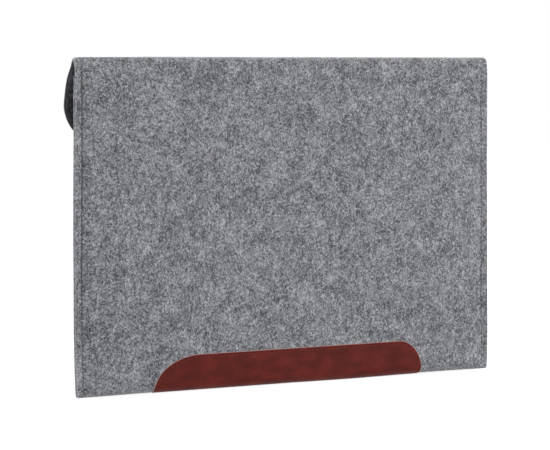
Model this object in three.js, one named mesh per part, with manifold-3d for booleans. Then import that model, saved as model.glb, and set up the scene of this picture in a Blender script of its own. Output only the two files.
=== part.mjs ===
// A felt laptop sleeve with a fold-over flap, for a thin 13-inch laptop, standing upright on its bottom fold.
//
// Frame: millimetres, +Z up, X across the width, -Y the plain back, +Y the flap side. The origin is under the
// middle of the object, on the surface that it stands on.
//
// The outer felt is one long sheet: it starts at the mouth on the front, runs down, folds under, climbs the
// back, folds over the top and hangs down the front as the flap. It is drawn here as a line in the side view,
// by depth (d, measured forwards from the back of the sewn side edges) and height z, and divided into three
// solids along its two soft fold lines, so that the flap can open. The lining follows the same line inside.

import * as THREE from "three";
import { mergeVertices } from "three/addons/utils/BufferGeometryUtils.js";
import Module from "manifold-3d";

const wasm = await Module();
wasm.setup();

// ---- Driving dimensions, in millimetres ----
const WIDTH = 350;
const HEIGHT = 250;
const FELT = 3.0;
const LINING = 0.7;
const LINING_INSET = 1; // from the flap's outline to its lining's
const SEAM_ALLOWANCE = 9; // from the body's side edges to its lining's
const MOUTH_SETBACK = 2; // from the mouth's edge down to its lining's
const LEATHER = 1.0;
const GAP = 0.3; // clearance between pieces that touch
const PROUD = 0.4; // how far the leather stands out of the felt it is pressed into

// The body.
const EDGE_THICKNESS = 2 * FELT + GAP; // the sewn side edges, two layers of felt
const FLANGE = 6; // width of the flat sewn edge
const RAMP = 34; // width over which the padding swells from the sewn edge
const BACK_SWELL = 3; // how far the back stands behind its sewn edges
const FRONT_DEPTH = 20.4; // depth of the front panel's face in the middle
const CORNER = 6; // outer radius of the bottom fold
const FRONT_TOP = 230; // height of the mouth's front edge
const FADE_START = 186; // above this the back flattens towards the straight top fold
const FOLD_START = 236; // height at which the back starts to bend over

// The top fold and the flap.
const CREST = 11; // depth of the highest line of the fold
const FLAP_DEPTH = 30.3; // depth of the flap's outer face
const FLAP_STRAIGHT = 212; // height below which the flap hangs straight
const FLAP_TIP = 185; // height of the flap's lower edge
const FLAP_CORNER = 31;
const CENTRE_DEPTH = (FLAP_DEPTH - BACK_SWELL) / 2; // depth of the middle of the object, where y is 0

// The leather trims.
const TRIM_HALF_WIDTH = 114.5;
const TRIM_SHIFT = -1.65; // the base trim is sewn a little off the middle
const TRIM_HALF_LENGTH = 35.5; // from the middle of the bottom, along the surface
const TRIM_CORNER = 31;
const LIP_HALF_WIDTH = 98;
const LIP_HEIGHT = 26;
const LIP_CORNER = 22;
const LIP_SETBACK = 0.6; // between the flap's edge and its trim

// The seams.
const THREAD_RADIUS = 0.35;
const GROOVE_WIDTH = 1.5;
const GROOVE_DEPTH = 0.75;
const SEAM_INSET = 5.6;
const SEAM_LOW = 4; // heights of the seams' two ends
const SEAM_HIGH = 230;
const TRIM_STITCH_INSET = 2.3;

// The magnetic snaps, one pair each side of the middle.
const SNAP_X = 72;
const SNAP_Z = 199;
const SNAP_RADIUS = 7;
const CAP_WALL = 0.5;
const CAP_HOLE = 3.4;
const MAGNET_HOLE = 3.9;
const MAGNET_RADIUS = 6.1;
const STUD_RADIUS = 2.6;
const STUD_LENGTH = 2.1;
const STUD_PLATE = 1.3;
const STUD_CHAMFER = 0.5;
const BASE_PLATE = 0.6;
const WASHER = { width: 15, height: 6, thickness: 0.5 };
const PRONG = { spacing: 8, width: 3, thickness: 0.6 };

const OVERCUT = 1; // how far a cutting tool runs past the face that it cuts
const BODY_HALF = WIDTH / 2;
const BASE = PROUD; // the felt's lowest face, above the trim that it stands on

// ---- Colours and materials ----
const FELT_GREY = new THREE.MeshStandardMaterial({ color: 0x808085, roughness: 0.95, metalness: 0 });
const LINING_BLACK = new THREE.MeshStandardMaterial({ color: 0x1d1e21, roughness: 1, metalness: 0 });
const LEATHER_BROWN = new THREE.MeshStandardMaterial({ color: 0x5d2925, roughness: 0.45, metalness: 0 });
const THREAD_GREY = new THREE.MeshStandardMaterial({ color: 0x46474a, roughness: 0.8, metalness: 0 });
const THREAD_BROWN = new THREE.MeshStandardMaterial({ color: 0x84403a, roughness: 0.7, metalness: 0 });
const SNAP_METAL = new THREE.MeshStandardMaterial({ color: 0x8b857a, roughness: 0.3, metalness: 1 });
const MAGNET_GREY = new THREE.MeshStandardMaterial({ color: 0x55585c, roughness: 0.5, metalness: 0.6 });

// ---- Solids ----
function solidOf(geometry) {
  const bare = new THREE.BufferGeometry().setAttribute("position", geometry.getAttribute("position"));
  if (geometry.index) bare.setIndex(geometry.index);
  const merged = mergeVertices(bare, 1e-4);
  return new wasm.Manifold(
    new wasm.Mesh({
      numProp: 3,
      vertProperties: new Float32Array(merged.getAttribute("position").array),
      triVerts: new Uint32Array(merged.index.array),
    }),
  );
}

function geometryOf(solid) {
  const mesh = solid.getMesh();
  return new THREE.BufferGeometry()
    .setAttribute("position", new THREE.BufferAttribute(mesh.vertProperties, 3))
    .setIndex(new THREE.BufferAttribute(mesh.triVerts, 1));
}

const cut = (solid, tools) => tools.reduce((left, tool) => left.subtract(tool), solid);

function toolBox(x, y, z) {
  const geometry = new THREE.BoxGeometry(x[1] - x[0], y[1] - y[0], z[1] - z[0]);
  geometry.translate((x[0] + x[1]) / 2, (y[0] + y[1]) / 2, (z[0] + z[1]) / 2);
  return solidOf(geometry);
}

// A closed sheet between two offsets of a surface. rows is a list of lines of points { x, d, z, nd, nz } that
// lie on the surface, with its outward normal in the side view. Offsets count inwards.
function sheetGeometry(rows, outer, inner) {
  const lines = rows.length;
  const across = rows[0].length;
  const positions = [];
  for (const offset of [outer, inner])
    for (const row of rows)
      for (const p of row)
        positions.push(p.x, p.d - offset * p.nd - CENTRE_DEPTH, p.z - offset * p.nz);
  const indices = [];
  const at = (side, i, j) => (side * lines + i) * across + j;
  const quad = (a, b, c, e) => indices.push(a, c, b, a, e, c);
  for (let i = 0; i < lines - 1; i++)
    for (let j = 0; j < across - 1; j++) {
      quad(at(0, i, j), at(0, i + 1, j), at(0, i + 1, j + 1), at(0, i, j + 1));
      quad(at(1, i, j), at(1, i, j + 1), at(1, i + 1, j + 1), at(1, i + 1, j));
    }
  for (let i = 0; i < lines - 1; i++) {
    quad(at(0, i, 0), at(1, i, 0), at(1, i + 1, 0), at(0, i + 1, 0));
    quad(at(0, i, across - 1), at(0, i + 1, across - 1), at(1, i + 1, across - 1), at(1, i, across - 1));
  }
  for (let j = 0; j < across - 1; j++) {
    quad(at(0, 0, j), at(0, 0, j + 1), at(1, 0, j + 1), at(1, 0, j));
    quad(at(0, lines - 1, j), at(1, lines - 1, j), at(1, lines - 1, j + 1), at(0, lines - 1, j + 1));
  }
  return new THREE.BufferGeometry()
    .setAttribute("position", new THREE.Float32BufferAttribute(positions, 3))
    .setIndex(indices);
}

// A shape drawn in the side view (depth, height), extruded along X.
function alongWidth(shape, half) {
  const geometry = new THREE.ExtrudeGeometry(shape, { depth: 2 * half, bevelEnabled: false });
  const turn = new THREE.Matrix4().set(0, 0, 1, -half, 1, 0, 0, -CENTRE_DEPTH, 0, 1, 0, 0, 0, 0, 0, 1);
  return geometry.applyMatrix4(turn);
}

// A shape drawn in the front view (x, z), extruded from depth to depth.
function throughDepth(shape, from, to) {
  const options = { depth: to - from, bevelEnabled: false, curveSegments: 10 };
  const turn = new THREE.Matrix4().set(1, 0, 0, 0, 0, 0, -1, to - CENTRE_DEPTH, 0, 1, 0, 0, 0, 0, 0, 1);
  return new THREE.ExtrudeGeometry(shape, options).applyMatrix4(turn);
}

// ---- The line of the sheet in the side view ----
const RISE = new THREE.CubicBezierCurve(
  new THREE.Vector2(0, FOLD_START),
  new THREE.Vector2(0.5, FOLD_START + 2.5),
  new THREE.Vector2(6.5, HEIGHT),
  new THREE.Vector2(CREST, HEIGHT),
);
const SLOPE = new THREE.CubicBezierCurve(
  new THREE.Vector2(CREST, HEIGHT),
  new THREE.Vector2(17, HEIGHT),
  new THREE.Vector2(FLAP_DEPTH, HEIGHT - 20),
  new THREE.Vector2(FLAP_DEPTH, FLAP_STRAIGHT),
);
const HINGE = 0.5; // parameter on RISE and on SLOPE at which each fold line lies

// Points with outward normals on a curve that runs back to front over the top.
function curvePoints(curve, from, to, steps) {
  return Array.from({ length: steps + 1 }, (_, i) => {
    const t = from + ((to - from) * i) / steps;
    const p = curve.getPoint(t);
    const tangent = curve.getTangent(t);
    return { d: p.x, z: p.y, nd: -tangent.y, nz: tangent.x };
  });
}

// The parameter step that makes half of the gap at a fold line.
function halfGap(curve) {
  const step = 1e-3;
  return (GAP / 2) * (step / curve.getPoint(HINGE).distanceTo(curve.getPoint(HINGE + step)));
}

// ---- The body's surface ----
function swell(x) {
  const share = THREE.MathUtils.clamp((BODY_HALF - FLANGE - Math.abs(x)) / RAMP, 0, 1);
  return 1 - (1 - share) ** 2;
}

function bottomFold(x) {
  const back = -BACK_SWELL * swell(x);
  const front = EDGE_THICKNESS + (FRONT_DEPTH - EDGE_THICKNESS) * swell(x);
  const radius = THREE.MathUtils.lerp(EDGE_THICKNESS / 2, CORNER, swell(x));
  return { back, front, radius };
}

// A quarter turn of the bottom fold, from angle to angle, where 0 points forwards and -90 degrees down.
function quarterTurn(depth, radius, from, to, steps) {
  return Array.from({ length: steps + 1 }, (_, i) => {
    const a = from + ((to - from) * i) / steps;
    const [nd, nz] = [Math.cos(a), Math.sin(a)];
    return { d: depth + radius * nd, z: BASE + radius + radius * nz, nd, nz };
  });
}

function backFace(x, z) {
  const depth = (h) => -BACK_SWELL * swell(x) * (1 - THREE.MathUtils.smoothstep(h, FADE_START, FOLD_START));
  const slope = depth(z + 0.5) - depth(z - 0.5);
  const length = Math.hypot(1, slope);
  return { d: depth(z), z, nd: -1 / length, nz: slope / length };
}

// The body's section at x, from the mouth down the front, under and up the back to the first fold line.
function bodySection(x, endOfRise) {
  const { back, front, radius } = bottomFold(x);
  const frontHeights = [FRONT_TOP, 160, 90, 30];
  const backHeights = [30, 100, FADE_START, 196, 206, 216, 226];
  return [
    ...frontHeights.map((z) => ({ d: front, z, nd: 1, nz: 0 })),
    ...quarterTurn(front - radius, radius, 0, -Math.PI / 2, 5),
    ...quarterTurn(back + radius, radius, -Math.PI / 2, -Math.PI, 5),
    ...backHeights.map((z) => backFace(x, z)),
    ...curvePoints(RISE, 0, endOfRise, 4),
  ].map((p) => ({ ...p, x }));
}

// Stations across the width: few on the flat middle, more where the padding swells.
function stations(half) {
  const bare = [1, 0.85, 0.65, 0.45, 0.2].map((k) => BODY_HALF - FLANGE - RAMP + k * RAMP);
  const right = [BODY_HALF - FLANGE - RAMP, ...bare.reverse(), half].filter((x) => x <= half);
  return [...right.map((x) => -x).reverse(), ...right];
}

function bodySheet(half, outer, inner, setback = 0) {
  const sections = stations(half).map((x) => bodySection(x, HINGE - halfGap(RISE)));
  const rows = sections[0].map((_, i) => sections.map((section) => section[i]));
  rows[0] = rows[0].map((p) => ({ ...p, z: p.z - setback }));
  return solidOf(sheetGeometry(rows, outer, inner));
}

// ---- The base trim, laid out flat by x and the distance s from the middle of the bottom ----
function onBase(x, s) {
  const { back, front, radius } = bottomFold(0);
  const flat = (front - back) / 2 - radius;
  const turn = (radius * Math.PI) / 2;
  const sign = Math.sign(s) || 1; // positive s runs up the back
  const along = Math.abs(s);
  const middle = (front + back) / 2;
  if (along <= flat) return { x, d: middle - sign * along, z: BASE, nd: 0, nz: -1 };
  if (along <= flat + turn) {
    const a = (along - flat) / radius;
    const depth = middle - sign * (flat + radius * Math.sin(a));
    return { x, d: depth, z: BASE + radius * (1 - Math.cos(a)), nd: -sign * Math.sin(a), nz: -Math.cos(a) };
  }
  const z = BASE + radius + along - flat - turn;
  return { x, d: middle - sign * (flat + radius), z, nd: -sign, nz: 0 };
}

// Half of the trim's width at a distance s, for an outline grown by margin.
function trimHalfWidth(s, margin) {
  const corner = TRIM_CORNER + margin;
  const past = Math.max(0, Math.abs(s) - (TRIM_HALF_LENGTH + margin - corner));
  return TRIM_HALF_WIDTH + margin - corner + Math.sqrt(Math.max(0, corner ** 2 - past ** 2));
}

function baseTrimSheet(margin, outer, inner) {
  const { back, front, radius } = bottomFold(0);
  const flat = (front - back) / 2 - radius;
  const limit = TRIM_HALF_LENGTH + margin;
  const turn = (radius * Math.PI) / 2;
  const bend = [0, 1, 2, 3, 4, 5].map((i) => flat + (turn * i) / 5);
  const rise = [22, 26, 29, 31.5, 33.5, 34.8].map((s) => (s * limit) / TRIM_HALF_LENGTH);
  const half = [...bend, ...rise, limit];
  const lines = [...half.map((s) => -s).reverse(), ...half];
  const columns = [-1, -0.75, 0, 0.75, 1];
  const rows = lines.map((s) => columns.map((u) => onBase(TRIM_SHIFT + u * trimHalfWidth(s, margin), s)));
  return solidOf(sheetGeometry(rows, outer, inner));
}

// ---- The flap ----
function stripShape(points, outer, inner) {
  const side = (offset) => points.map((p) => new THREE.Vector2(p.d - offset * p.nd, p.z - offset * p.nz));
  return new THREE.Shape([...side(inner), ...side(outer).reverse()]);
}

const TOP_FOLD_LINE = [
  ...curvePoints(RISE, HINGE + halfGap(RISE), 1, 5),
  ...curvePoints(SLOPE, 0, HINGE - halfGap(SLOPE), 7).slice(1),
];

const FLAP_LINE = [
  ...curvePoints(SLOPE, HINGE + halfGap(SLOPE), 1, 6),
  { d: FLAP_DEPTH, z: FLAP_TIP, nd: 1, nz: 0 },
];

// The flap's outline in the front view, shrunk by inset on its sides and lower edge.
function flapOutline(inset) {
  const half = BODY_HALF - inset;
  const low = FLAP_TIP + inset;
  const corner = FLAP_CORNER - inset;
  const shape = new THREE.Shape();
  shape.moveTo(-half, HEIGHT + OVERCUT);
  shape.lineTo(-half, low + corner);
  shape.absarc(-half + corner, low + corner, corner, Math.PI, 1.5 * Math.PI, false);
  shape.lineTo(half - corner, low);
  shape.absarc(half - corner, low + corner, corner, 1.5 * Math.PI, 2 * Math.PI, false);
  shape.lineTo(half, HEIGHT + OVERCUT);
  shape.closePath();
  return shape;
}

function flapSheet(inset, outer, inner) {
  const strip = solidOf(alongWidth(stripShape(FLAP_LINE, outer, inner), BODY_HALF + OVERCUT));
  return strip.intersect(solidOf(throughDepth(flapOutline(inset), 0, FLAP_DEPTH + OVERCUT)));
}

// The leather on the flap's lip, with its two upper corners rounded.
function lipOutline(margin) {
  const half = LIP_HALF_WIDTH + margin;
  const low = FLAP_TIP + LIP_SETBACK - margin;
  const high = FLAP_TIP + LIP_HEIGHT + margin;
  const corner = LIP_CORNER + margin;
  const shape = new THREE.Shape();
  shape.moveTo(-half, low);
  shape.lineTo(half, low);
  shape.lineTo(half, high - corner);
  shape.absarc(half - corner, high - corner, corner, 0, Math.PI / 2, false);
  shape.lineTo(corner - half, high);
  shape.absarc(corner - half, high - corner, corner, Math.PI / 2, Math.PI, false);
  shape.closePath();
  return shape;
}

// ---- Threads ----
// A thread over a line of points { x, z } that lies flat at one depth.
function flatThread(points, depth) {
  const section = new THREE.Shape();
  section.absarc(0, 0, THREAD_RADIUS, 0, 2 * Math.PI);
  const spots = points.map(({ x, z }) => new THREE.Vector3(x, depth - CENTRE_DEPTH, z));
  return new THREE.ExtrudeGeometry(section, {
    steps: 2 * points.length,
    curveSegments: 3,
    bevelEnabled: false,
    extrudePath: new THREE.CatmullRomCurve3(spots, false, "centripetal"),
  });
}

// Up one rounded end of a trim from the height foot, straight across, and down the other.
// corner is the centre of the right end's arc.
function archLine(corner, radius, foot) {
  const lowest = Math.asin(Math.max(0, foot - corner.z) / radius);
  const turn = Array.from({ length: 8 }, (_, i) => lowest + ((Math.PI / 2 - lowest) * i) / 7);
  const right = [
    ...(foot < corner.z ? [{ x: corner.x + radius, z: foot }] : []),
    ...turn.map((a) => ({ x: corner.x + radius * Math.cos(a), z: corner.z + radius * Math.sin(a) })),
    { x: corner.x / 2, z: corner.z + radius },
  ];
  return [...right, ...right.map((p) => ({ x: -p.x, z: p.z })).reverse()];
}

function baseTrimLine() {
  const { back, front, radius } = bottomFold(0);
  const top = BASE + radius + TRIM_HALF_LENGTH - (front - back) / 2 + radius - (radius * Math.PI) / 2;
  const corner = { x: TRIM_HALF_WIDTH - TRIM_CORNER, z: top - TRIM_CORNER };
  const line = archLine(corner, TRIM_CORNER - TRIM_STITCH_INSET, BASE + radius + 1);
  return line.map((p) => ({ ...p, x: p.x + TRIM_SHIFT }));
}

function flapTrimLine() {
  const corner = { x: LIP_HALF_WIDTH - LIP_CORNER, z: FLAP_TIP + LIP_HEIGHT - LIP_CORNER };
  return archLine(corner, LIP_CORNER - TRIM_STITCH_INSET, FLAP_TIP + LIP_SETBACK + TRIM_STITCH_INSET);
}

function seamThread(side, depth) {
  const length = SEAM_HIGH - SEAM_LOW;
  const geometry = new THREE.CylinderGeometry(THREAD_RADIUS, THREAD_RADIUS, length, 8);
  geometry.rotateX(Math.PI / 2);
  geometry.translate(side * (BODY_HALF - SEAM_INSET), depth - CENTRE_DEPTH, SEAM_LOW + length / 2);
  return geometry;
}

function seamGrooves() {
  const half = GROOVE_WIDTH / 2;
  const faces = [
    [-OVERCUT, GROOVE_DEPTH],
    [EDGE_THICKNESS - GROOVE_DEPTH, EDGE_THICKNESS + OVERCUT],
  ];
  return [-1, 1].flatMap((side) =>
    faces.map(([near, far]) => {
      const x = side * (BODY_HALF - SEAM_INSET);
      const heights = [SEAM_LOW - OVERCUT, SEAM_HIGH + OVERCUT];
      return toolBox([x - half, x + half], [near - CENTRE_DEPTH, far - CENTRE_DEPTH], heights);
    }),
  );
}

// ---- Magnetic snaps ----
const FLAP_INNER = FLAP_DEPTH - FELT - GAP - LINING;
const PLATE_BACK = FLAP_INNER - GAP - STUD_PLATE; // the stud plate's face towards the socket
const CAP_FRONT = PLATE_BACK - GAP;
const CAP_BACK = FRONT_DEPTH + GAP;
const PANEL_WASHER = FRONT_DEPTH - FELT + GAP; // depth of the washer's inner face, let into the front panel
const FLAP_WASHER = FLAP_DEPTH - FELT / 2 - WASHER.thickness - GAP / 2; // depth of its inner face

// A profile of (radius, depth) points turned about the snap's axis, which runs along Y.
function turned(profile, x) {
  const geometry = new THREE.LatheGeometry(
    profile.map(([radius, depth]) => new THREE.Vector2(radius, depth - CENTRE_DEPTH)),
    24,
  );
  geometry.translate(x, 0, SNAP_Z);
  return geometry;
}

function ring(inner, outer, near, far, x) {
  return turned([[inner, near], [outer, near], [outer, far], [inner, far], [inner, near]], x);
}

function disc(radius, near, far, x) {
  return turned([[0, near], [radius, near], [radius, far], [0, far]], x);
}

function snapCap(x) {
  const rim = SNAP_RADIUS - CAP_WALL;
  const front = CAP_FRONT - CAP_WALL;
  return turned(
    [
      [rim, CAP_BACK],
      [SNAP_RADIUS, CAP_BACK],
      [SNAP_RADIUS, front],
      [rim, CAP_FRONT],
      [CAP_HOLE, CAP_FRONT],
      [CAP_HOLE, front],
      [rim, front],
      [rim, CAP_BACK],
    ],
    x,
  );
}

// The two prongs of a snap, as boxes from depth to depth, grown by margin.
function prongs(x, near, far, margin) {
  return [-1, 1].map((side) => {
    const centre = x + (side * PRONG.spacing) / 2;
    const across = PRONG.thickness / 2 + margin;
    const up = PRONG.width / 2 + margin;
    return toolBox(
      [centre - across, centre + across],
      [near - CENTRE_DEPTH, far - CENTRE_DEPTH],
      [SNAP_Z - up, SNAP_Z + up],
    );
  });
}

const withProngs = (solid, tools) => tools.reduce((all, tool) => all.add(tool), solid);

function socketBase(x) {
  const plate = solidOf(disc(MAGNET_RADIUS, CAP_BACK, CAP_BACK + BASE_PLATE, x));
  return withProngs(plate, prongs(x, PANEL_WASHER, CAP_BACK + BASE_PLATE / 2, 0));
}

function snapStud(x) {
  const plate = solidOf(
    turned(
      [
        [0, PLATE_BACK - STUD_LENGTH],
        [STUD_RADIUS - STUD_CHAMFER, PLATE_BACK - STUD_LENGTH],
        [STUD_RADIUS, PLATE_BACK - STUD_LENGTH + STUD_CHAMFER],
        [STUD_RADIUS, PLATE_BACK],
        [SNAP_RADIUS, PLATE_BACK],
        [SNAP_RADIUS, PLATE_BACK + STUD_PLATE],
        [0, PLATE_BACK + STUD_PLATE],
      ],
      x,
    ),
  );
  const tip = FLAP_WASHER + WASHER.thickness;
  return withProngs(plate, prongs(x, PLATE_BACK + STUD_PLATE / 2, tip, 0));
}

function washerBox(x, near, margin) {
  return toolBox(
    [x - WASHER.width / 2 - margin, x + WASHER.width / 2 + margin],
    [near - CENTRE_DEPTH - margin, near + WASHER.thickness - CENTRE_DEPTH + margin],
    [SNAP_Z - WASHER.height / 2 - margin, SNAP_Z + WASHER.height / 2 + margin],
  );
}

function washer(x, near) {
  return cut(washerBox(x, near, 0), prongs(x, near - OVERCUT, near + WASHER.thickness + OVERCUT, GAP));
}

const SNAP_SIDES = { left: -SNAP_X, right: SNAP_X };
const snapTools = (tool) => Object.values(SNAP_SIDES).flatMap(tool);

// ---- The pieces ----
const sleeve = new THREE.Group();

function add(name, geometryOrSolid, material) {
  const geometry = geometryOrSolid.isBufferGeometry ? geometryOrSolid : geometryOf(geometryOrSolid);
  const mesh = new THREE.Mesh(geometry, material);
  mesh.name = name;
  sleeve.add(mesh);
}

function addFelt() {
  const body = cut(bodySheet(BODY_HALF, 0, FELT), [
    baseTrimSheet(GAP, -OVERCUT, LEATHER - PROUD + GAP),
    ...seamGrooves(),
    ...snapTools((x) => prongs(x, PANEL_WASHER - OVERCUT, FRONT_DEPTH + OVERCUT, GAP)),
    ...snapTools((x) => [washerBox(x, PANEL_WASHER, GAP)]),
  ]);
  const flap = cut(flapSheet(0, 0, FELT), [
    solidOf(throughDepth(lipOutline(GAP), FLAP_DEPTH - LEATHER + PROUD - GAP, FLAP_DEPTH + OVERCUT)),
    ...snapTools((x) => prongs(x, FLAP_DEPTH - FELT - OVERCUT, FLAP_WASHER, GAP)),
    ...snapTools((x) => [washerBox(x, FLAP_WASHER, GAP)]),
  ]);
  add("felt_body", body, FELT_GREY);
  add("felt_top_fold", alongWidth(stripShape(TOP_FOLD_LINE, 0, FELT), BODY_HALF), FELT_GREY);
  add("felt_flap", flap, FELT_GREY);
}

function addLining() {
  const outer = FELT + GAP;
  const inner = outer + LINING;
  const fold = alongWidth(stripShape(TOP_FOLD_LINE, outer, inner), BODY_HALF - LINING_INSET);
  const holes = snapTools((x) => prongs(x, FLAP_INNER - OVERCUT, FLAP_DEPTH, GAP));
  const half = BODY_HALF - SEAM_ALLOWANCE;
  add("lining_body", bodySheet(half, outer, inner, MOUTH_SETBACK), LINING_BLACK);
  add("lining_top_fold", fold, LINING_BLACK);
  add("lining_flap", cut(flapSheet(LINING_INSET, outer, inner), holes), LINING_BLACK);
}

function addLeather() {
  add("base_trim", baseTrimSheet(0, -PROUD, LEATHER - PROUD), LEATHER_BROWN);
  const lip = throughDepth(lipOutline(0), FLAP_DEPTH - LEATHER + PROUD, FLAP_DEPTH + PROUD);
  add("flap_trim", lip, LEATHER_BROWN);
}

function addSeams() {
  const back = THREAD_RADIUS - 0.05;
  const front = EDGE_THICKNESS - back;
  for (const [name, side] of Object.entries({ left: -1, right: 1 })) {
    add(`seam_thread_${name}_back`, seamThread(side, back), THREAD_GREY);
    add(`seam_thread_${name}_front`, seamThread(side, front), THREAD_GREY);
  }
  const stand = PROUD + GAP + THREAD_RADIUS; // from a felt face to the middle of a thread on its leather
  const { back: rear, front: face } = bottomFold(0);
  add("base_trim_thread_back", flatThread(baseTrimLine(), rear - stand), THREAD_BROWN);
  add("base_trim_thread_front", flatThread(baseTrimLine(), face + stand), THREAD_BROWN);
  add("flap_trim_thread", flatThread(flapTrimLine(), FLAP_DEPTH + stand), THREAD_BROWN);
}

function addSnaps() {
  for (const [name, x] of Object.entries(SNAP_SIDES)) {
    const [near, far] = [CAP_BACK + BASE_PLATE + GAP, CAP_FRONT - CAP_WALL - GAP];
    const magnet = ring(MAGNET_HOLE, MAGNET_RADIUS, near, far, x);
    add(`snap_cap_${name}`, snapCap(x), SNAP_METAL);
    add(`snap_magnet_${name}`, magnet, MAGNET_GREY);
    add(`snap_base_${name}`, socketBase(x), SNAP_METAL);
    add(`snap_panel_washer_${name}`, washer(x, PANEL_WASHER), SNAP_METAL);
    add(`snap_stud_${name}`, snapStud(x), SNAP_METAL);
    add(`snap_flap_washer_${name}`, washer(x, FLAP_WASHER), SNAP_METAL);
  }
}

addFelt();
addLining();
addLeather();
addSeams();
addSnaps();

export default sleeve;
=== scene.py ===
"""The looks of a felt laptop sleeve: felt, lining, leather trims, stitches and magnetic snaps.

Lengths are in millimetres and become metres when a mesh is made. A sheet is drawn as in the side view, by
its depth d (forwards from the back of the sewn side edges) and height z, with an outward normal (nd, nz).
It starts at the mouth on the front, runs down, folds under, climbs the back and folds over into the flap.
Values for the left and the right side, seen from behind, are kept under -1 and 1.
"""

import math

import bpy
import numpy as np
from mathutils import Euler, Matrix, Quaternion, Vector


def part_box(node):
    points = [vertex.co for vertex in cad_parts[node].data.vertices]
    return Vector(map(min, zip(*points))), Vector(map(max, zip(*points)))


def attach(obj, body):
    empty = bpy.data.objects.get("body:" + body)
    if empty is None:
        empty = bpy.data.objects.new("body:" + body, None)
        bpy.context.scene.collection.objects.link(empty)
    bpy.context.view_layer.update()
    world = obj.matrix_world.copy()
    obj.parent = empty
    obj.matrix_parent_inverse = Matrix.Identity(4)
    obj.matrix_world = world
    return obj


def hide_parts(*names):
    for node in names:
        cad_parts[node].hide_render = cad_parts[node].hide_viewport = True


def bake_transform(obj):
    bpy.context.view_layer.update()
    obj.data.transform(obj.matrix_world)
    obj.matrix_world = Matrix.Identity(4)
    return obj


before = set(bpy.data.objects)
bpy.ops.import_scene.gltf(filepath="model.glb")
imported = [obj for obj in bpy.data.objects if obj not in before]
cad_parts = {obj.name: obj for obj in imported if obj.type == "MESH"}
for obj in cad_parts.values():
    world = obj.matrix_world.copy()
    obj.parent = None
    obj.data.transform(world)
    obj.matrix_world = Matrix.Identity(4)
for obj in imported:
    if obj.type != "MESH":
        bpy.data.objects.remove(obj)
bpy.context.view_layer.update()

# ---- Sizes that repeat the CAD model's ----
WIDTH = 350
HEIGHT = 250
FELT = 3.0
LINING = 0.7
LEATHER = 1.0
PROUD = 0.4  # how far the leather stands out of the felt
FLANGE = 6  # width of the flat sewn edge
RAMP = 34  # width over which the padding swells from the sewn edge
BACK_SWELL = 3
FRONT_DEPTH = 20.4
FRONT_TOP = 230
FADE_START = 186  # above this the back flattens towards the fold
FOLD_START = 236
CREST = 11  # depth of the highest line of the fold
FLAP_DEPTH = 30.3
FLAP_STRAIGHT = 212
FLAP_TIP = 185
FLAP_CORNER = 31
LINING_MARGIN = 1.0  # from the flap's outline to its lining's
LINING_INSET = 9  # from the sewn side edges to the lining's
LIP_HALF_WIDTH = 98
LIP_HEIGHT = 26
LIP_CORNER = 22
LIP_SETBACK = 0.6
TRIM_STITCH_INSET = 2.3
SNAP_RADIUS = 7
CAP_WALL = 0.5
CAP_HOLE = 3.4
STUD_RADIUS = 2.6
STUD_LENGTH = 2.1
STUD_PLATE = 1.3
STUD_CHAMFER = 0.5

# ---- Sizes that refine the CAD model's plain outlines ----
EDGE_THICKNESS = 5.2  # of both layers where they are sewn
CORNER = 7.5  # outer radius of the felt's bottom fold
TRIM_REACH = {-1: 116.2, 1: 112.2}
TRIM_HEIGHT = 27.4
TRIM_CORNERS = {-1: (39.2, 27.6), 1: (20.3, 24)}  # width and height of the base trim's corners
TRIM_WAIST = {"depth": 1.8, "height": 13}  # the base trim narrows a little under the sleeve
FLAP_TAPER = {"depth": 1.3, "length": 32}  # the flap narrows a little down from the fold
SLACK_END, SLACK_START = -172, -115  # the fold over the top is slack at the sleeve's left end
CREST_DROOP = {"drop": 1.2, "width": 6, "length": 16}  # its slack end bends down a little
MOUTH_RISE = {"height": 6, "start": 158, "end": 172}  # the seams draw the mouth's ends up
SWAY = {"reach": 1.0, "middle": 140, "length": 170, "start": 60, "end": 165}  # the left side leans
LINING_SETBACK = 2.2  # from the mouth's edge down to its lining's
LINING_TIP_GAP = 1.2  # from the flap's lower edge up to its lining's
LINING_SPREAD = {"start": 231, "end": 238}  # the back's lining widens above the sewn sides
LINING_GAP = 0.05  # between the felt and the lining glued to it
CAP_CHAMFER = (0.6, 0.5)  # width and height

# ---- Seams ----
SEAM_INSET = {-1: 5.1, 1: 5.6}  # from the side edges to the seams
SEAM_PITCH = 3.4
SEAM_LOW = 3.5
SEAM_HIGH = {"back": 243.5, "front": 231}
SEAM_FADE = 2  # height over which a seam's dip and its pressure end
SEAM_VALLEY = {"depth": 0.55, "width": 3.5}  # the wide dip on both sides of a seam
GROOVE_DEPTH = {-1: 0.5, 1: 0.16}  # how deep the thread pulls into the valley, at its tightest
GROOVE_WIDTH = 0.6
GROOVE_MEAN = 0.85  # its mean depth, as a share of its greatest
SEAM_SLACK = {"share": 0.55, "start": 110, "end": 168}  # the left thread pulls less towards the bottom
SEAM_SHADE = {-1: 0.3, 1: 0.0}  # painted shade: how much darker the felt is painted along the thread's groove
CRUSH = {"depth": 0.55, "start": 8, "end": 14}  # the felt is thinner where it is sewn
CRUSH_HIGH = {"back": 243.5, "front": 235}
SPRING_BACK = {-1: 0.75, 1: 0.6}  # how far the felt swells again between a seam and the cut edge
SPRING_FADE = {"start": 3, "end": 15, "top": 10}
THREAD_RADIUS = 0.3
THREAD_PROUD = {-1: 0.15, 1: 0.0}  # how far the seams' threads stand out of their groove
TRIM_PITCH = 3.4
TRIM_THREAD_LIFT = 0.3  # from the felt's face out to the middle of the trims' threads
TRIM_GAP, SEAM_GAP = 0.14, 0.06  # the share of the pitch from a stitch's end to its hole

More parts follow.
